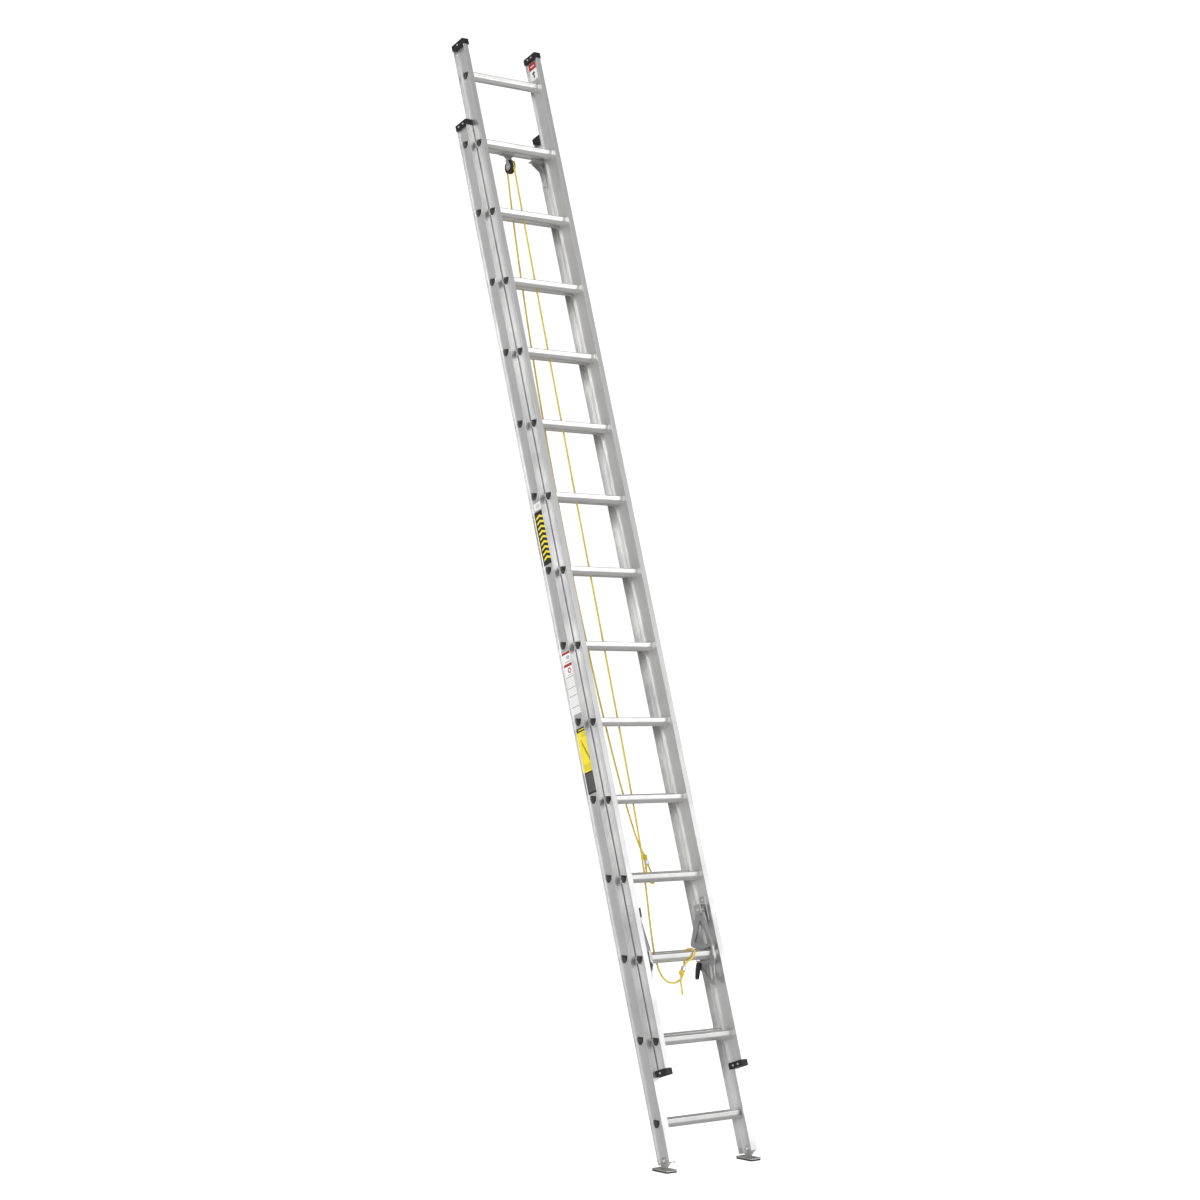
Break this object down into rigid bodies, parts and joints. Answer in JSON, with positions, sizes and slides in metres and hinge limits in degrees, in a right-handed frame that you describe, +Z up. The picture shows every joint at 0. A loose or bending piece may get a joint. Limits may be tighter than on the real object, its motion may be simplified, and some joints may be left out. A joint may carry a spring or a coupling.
{
  "type": "extension ladder",
  "caption": "Leaning two-section aluminium extension ladder with hooked rung locks, swivel shoes, end caps, and a rope and pulley.",
  "frame": {"origin": "on the floor, directly below the shoe bolts' axis and midway between the two shoes", "axes": "+X across to the climber's right, +Y towards the wall, +Z up; the rails lean 17.5 degrees from upright towards +Y"},
  "size_m": [0.46, 1.3862, 4.3904],
  "materials": {
    "rail_aluminium": "mill finish, lightly brushed",
    "rung_aluminium": "mill finish, ribbed tread",
    "cap_plastic": "moulded, fine grain",
    "shoe_plate": "matt",
    "tread_rubber": "ribbed",
    "lock_casting": "zinc plated, stamped",
    "finger_plastic": "moulded",
    "zinc_fasteners": "zinc plated",
    "lock_bracket_plate": "folded sheet",
    "spring_wire": "drawn wire",
    "pulley_frame": "folded sheet",
    "wheel_plastic": "moulded",
    "brace_aluminium": "folded sheet",
    "rope_fibre": "braided yellow fibre",
    "ferrule_aluminium": "crimped"
  },
  "bodies": {
    "base_section": {"base_rung_01": "rung_aluminium", "base_rung_02": "rung_aluminium", "base_rung_03": "rung_aluminium", "base_rung_04": "rung_aluminium", "base_rung_05": "rung_aluminium", "base_rung_06": "rung_aluminium", "base_rung_07": "rung_aluminium", "base_rung_08": "rung_aluminium", "base_rung_09": "rung_aluminium", "base_rung_10": "rung_aluminium", "base_rung_11": "rung_aluminium", "base_rung_12": "rung_aluminium", "base_rung_13": "rung_aluminium", "base_rung_14": "rung_aluminium", "base_rail_left": "rail_aluminium", "base_rail_right": "rail_aluminium", "base_top_cap_left": "cap_plastic", "base_top_cap_right": "cap_plastic", "base_fasteners": "zinc_fasteners", "pulley_clamp": "pulley_frame", "pulley_yoke": "pulley_frame", "rung_braces": "brace_aluminium", "rope_lift": "rope_fibre", "rope_return": "rope_fibre", "rope_ferrule_base": "ferrule_aluminium"},
    "fly_section": {"fly_rung_01": "rung_aluminium", "fly_rung_02": "rung_aluminium", "fly_rung_03": "rung_aluminium", "fly_rung_04": "rung_aluminium", "fly_rung_05": "rung_aluminium", "fly_rung_06": "rung_aluminium", "fly_rung_07": "rung_aluminium", "fly_rung_08": "rung_aluminium", "fly_rung_09": "rung_aluminium", "fly_rung_10": "rung_aluminium", "fly_rung_11": "rung_aluminium", "fly_rung_12": "rung_aluminium", "fly_rung_13": "rung_aluminium", "fly_rung_14": "rung_aluminium", "fly_rail_left": "rail_aluminium", "fly_rail_right": "rail_aluminium", "fly_top_cap_left": "cap_plastic", "fly_top_cap_right": "cap_plastic", "fly_bottom_cap_left": "cap_plastic", "fly_bottom_cap_right": "cap_plastic", "fly_fasteners": "zinc_fasteners", "lock_brackets": "lock_bracket_plate", "lock_springs": "spring_wire", "rope_fly_loop": "rope_fibre", "rope_ferrule_fly": "ferrule_aluminium"},
    "lock_hook_left": {"lock_hook_left": "lock_casting"},
    "lock_finger_left": {"lock_finger_left": "finger_plastic"},
    "shoe_left": {"shoe_bracket_left": "shoe_plate", "shoe_tread_left": "tread_rubber"},
    "lock_hook_right": {"lock_hook_right": "lock_casting"},
    "lock_finger_right": {"lock_finger_right": "finger_plastic"},
    "shoe_right": {"shoe_bracket_right": "shoe_plate", "shoe_tread_right": "tread_rubber"},
    "pulley_wheel": {"pulley_wheel": "wheel_plastic"}
  },
  "joints": [
    {"name": "fly_slide", "type": "slide", "parent": "base_section", "child": "fly_section", "axis": [0, 0.3007, 0.9537], "range_m": [0, 2.7432], "deforming": ["rope_lift"]},
    {"name": "lock_swing_left", "type": "hinge", "parent": "fly_section", "child": "lock_hook_left", "pos_m": [-0.15, 0.21743, 0.9105], "axis": [1, 0, 0], "range_deg": [-18, 0]},
    {"name": "finger_swing_left", "type": "hinge", "parent": "lock_hook_left", "child": "lock_finger_left", "pos_m": [-0.15, 0.2116, 0.70578], "axis": [1, 0, 0], "range_deg": [0, 75]},
    {"name": "shoe_pivot_left", "type": "hinge", "parent": "base_section", "child": "shoe_left", "pos_m": [-0.204, 0, 0.038], "axis": [1, 0, 0], "range_deg": [-40, 12]},
    {"name": "lock_swing_right", "type": "hinge", "parent": "fly_section", "child": "lock_hook_right", "pos_m": [0.15, 0.21743, 0.9105], "axis": [1, 0, 0], "range_deg": [-18, 0]},
    {"name": "finger_swing_right", "type": "hinge", "parent": "lock_hook_right", "child": "lock_finger_right", "pos_m": [0.15, 0.2116, 0.70578], "axis": [1, 0, 0], "range_deg": [0, 75]},
    {"name": "shoe_pivot_right", "type": "hinge", "parent": "base_section", "child": "shoe_right", "pos_m": [0.204, 0, 0.038], "axis": [1, 0, 0], "range_deg": [-40, 12]},
    {"name": "pulley_spin", "type": "hinge", "parent": "base_section", "child": "pulley_wheel", "pos_m": [0, 1.20733, 3.87714], "axis": [1, 0, 0], "continuous": true}
  ]
}
